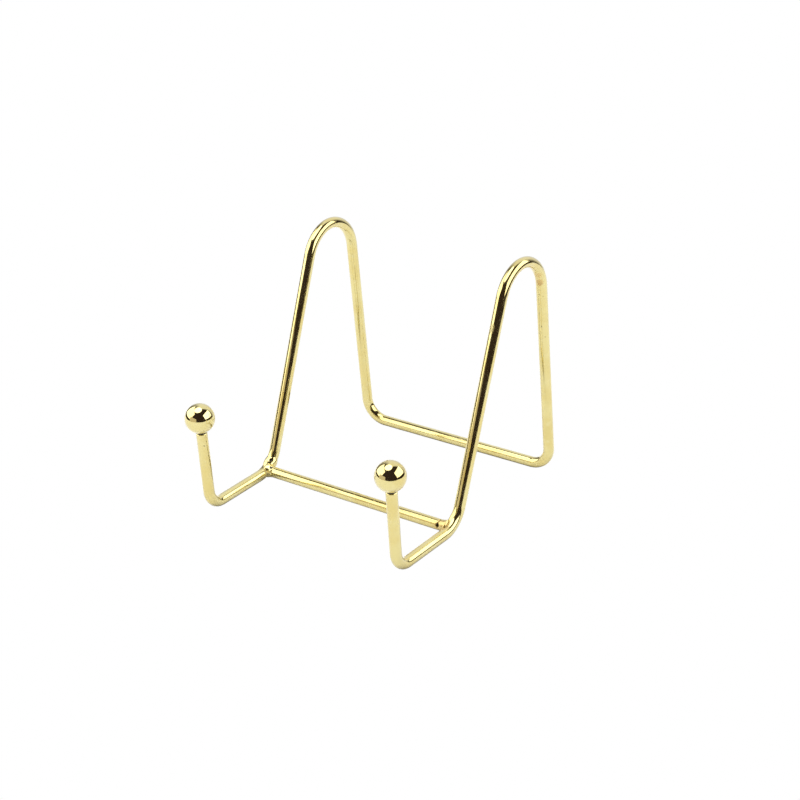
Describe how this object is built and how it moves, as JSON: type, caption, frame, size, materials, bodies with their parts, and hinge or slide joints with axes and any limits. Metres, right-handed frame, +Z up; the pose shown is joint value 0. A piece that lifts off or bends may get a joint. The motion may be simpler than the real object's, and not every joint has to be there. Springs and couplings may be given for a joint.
{
  "type": "display easel",
  "caption": "Bent-wire tabletop display easel: leaning loops joined by a rear floor bar and a welded front crossbar, with ball-tipped hooks that hold up a plate, book or picture.",
  "frame": {"origin": "centre of the footprint's bounding box, on the surface that the easel stands on", "axes": "+X the easel's right side as seen from the front, +Y from the ball-tipped hooks at the front to the rear floor bar, +Z up"},
  "size_m": [0.0858, 0.1014, 0.0844],
  "materials": {
    "plated_wire": "mirror-polished pale gold plating",
    "plated_ball": "mirror-polished pale gold plating",
    "plated_weld": "pale gold plating over a smoothed weld, slightly warmer and duller"
  },
  "bodies": {
    "root": {"frame_wire": "plated_wire", "front_crossbar": "plated_wire", "left_ball_tip": "plated_ball", "right_ball_tip": "plated_ball", "left_crossbar_weld": "plated_weld", "right_crossbar_weld": "plated_weld"}
  },
  "joints": []
}
